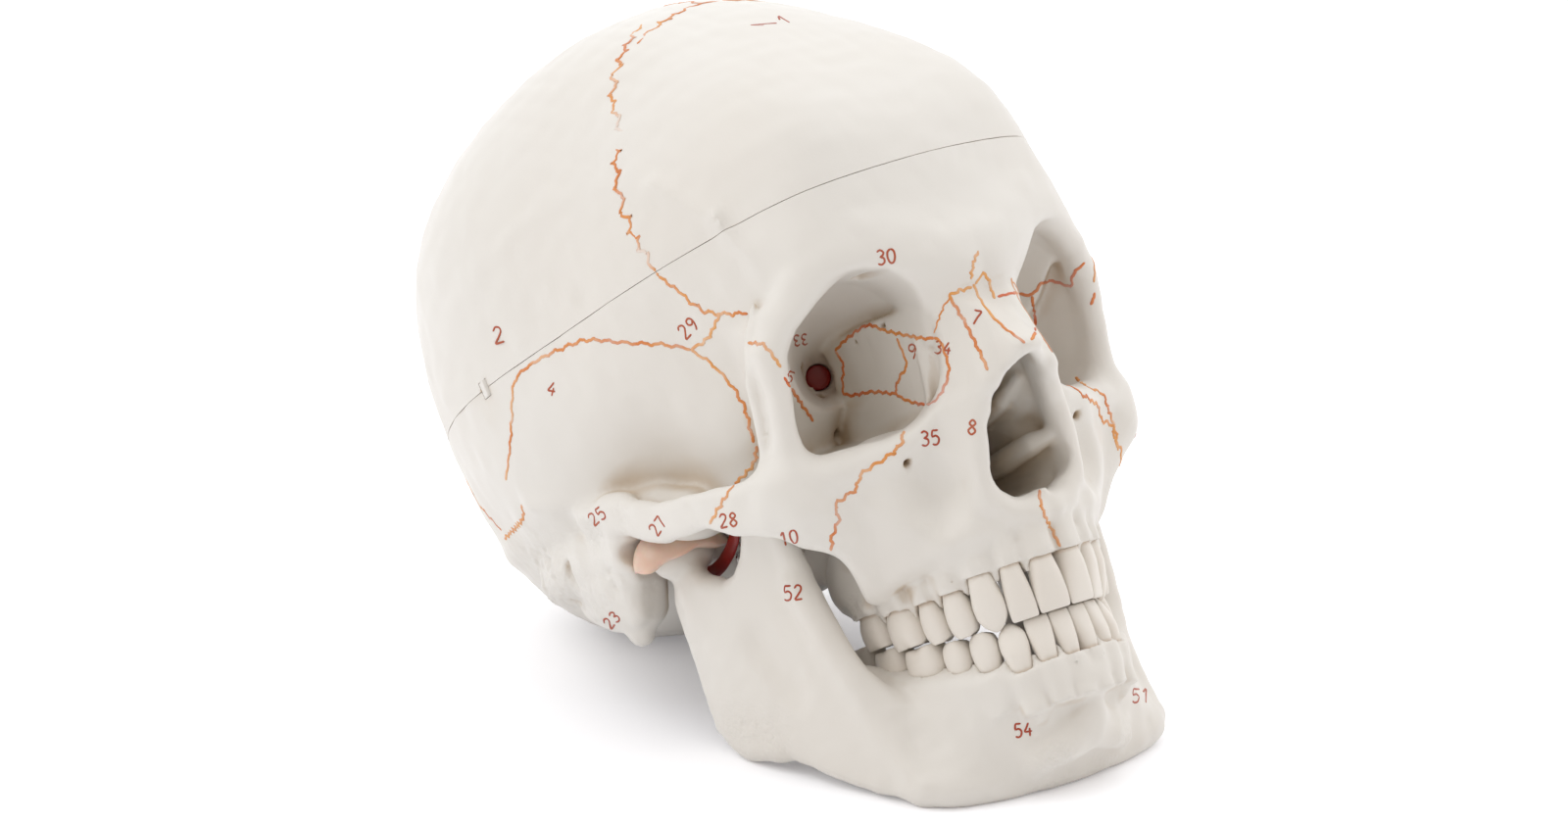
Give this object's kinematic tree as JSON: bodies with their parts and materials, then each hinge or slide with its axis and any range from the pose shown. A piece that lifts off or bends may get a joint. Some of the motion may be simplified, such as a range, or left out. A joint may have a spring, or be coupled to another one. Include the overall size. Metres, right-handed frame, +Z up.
{
  "type": "anatomical skull model",
  "caption": "Life-size anatomical skull model resting on its jaw and occiput, with a lift-off calvarium, a sprung hinged mandible, set teeth, joint discs and open orbits.",
  "frame": {"origin": "centre of the bounding box on the floor the skull rests on", "axes": "+X to the skull's left, +Y towards the back of the head, +Z up; the face looks to -Y and is tipped back, as the skull lies on its jaw and the back of its head"},
  "size_m": [0.1414, 0.2236, 0.1728],
  "materials": {
    "bone": "semi-gloss moulded, warm off-white",
    "tooth": "semi-gloss, pale ivory",
    "joint_disc": "translucent pink, satin",
    "red_plastic": "deep red, satin",
    "steel": "plain drawn wire and ground pins"
  },
  "bodies": {
    "cranium": {"upper_left_central_incisor": "tooth", "upper_left_lateral_incisor": "tooth", "upper_left_canine": "tooth", "upper_left_first_premolar": "tooth", "upper_left_second_premolar": "tooth", "upper_left_first_molar": "tooth", "upper_left_second_molar": "tooth", "upper_right_central_incisor": "tooth", "upper_right_lateral_incisor": "tooth", "upper_right_canine": "tooth", "upper_right_first_premolar": "tooth", "upper_right_second_premolar": "tooth", "upper_right_first_molar": "tooth", "upper_right_second_molar": "tooth", "skull_base": "bone", "joint_disc_left": "joint_disc", "orbit_plug_left": "red_plastic", "jaw_spring_left": "steel", "spring_sleeve_left": "red_plastic", "skull_eye_left": "steel", "joint_disc_right": "joint_disc", "orbit_plug_right": "red_plastic", "jaw_spring_right": "steel", "spring_sleeve_right": "red_plastic", "skull_eye_right": "steel", "rim_pin_back": "steel", "rim_pin_right": "steel", "rim_pin_left": "steel", "skull_magnet_back_left": "steel", "skull_magnet_back_right": "steel", "skull_magnet_front": "steel"},
    "calvarium_cap": {"calvarium": "bone", "cap_magnet_back_left": "steel", "cap_magnet_back_right": "steel", "cap_magnet_front": "steel", "cap_locating_key": "bone"},
    "jaw": {"lower_left_central_incisor": "tooth", "lower_left_lateral_incisor": "tooth", "lower_left_canine": "tooth", "lower_left_first_premolar": "tooth", "lower_left_second_premolar": "tooth", "lower_left_first_molar": "tooth", "lower_left_second_molar": "tooth", "lower_left_third_molar": "tooth", "lower_right_central_incisor": "tooth", "lower_right_lateral_incisor": "tooth", "lower_right_canine": "tooth", "lower_right_first_premolar": "tooth", "lower_right_second_premolar": "tooth", "lower_right_first_molar": "tooth", "lower_right_second_molar": "tooth", "lower_right_third_molar": "tooth", "mandible": "bone", "jaw_eye_left": "steel", "jaw_eye_right": "steel"}
  },
  "joints": [
    {"name": "jaw_hinge", "type": "hinge", "parent": "cranium", "child": "jaw", "pos_m": [0, -0.01381, 0.0465], "axis": [1, 0, 0], "range_deg": [0, 20], "stiffness_Nm_per_rad": 0.15, "springref_deg": -28.65, "deforming": ["jaw_spring_left", "jaw_spring_right", "spring_sleeve_left", "spring_sleeve_right"]},
    {"name": "calvarium_lift", "type": "slide", "parent": "cranium", "child": "calvarium_cap", "axis": [0, 0.6142, 0.7891], "range_m": [0, 0.08]}
  ]
}
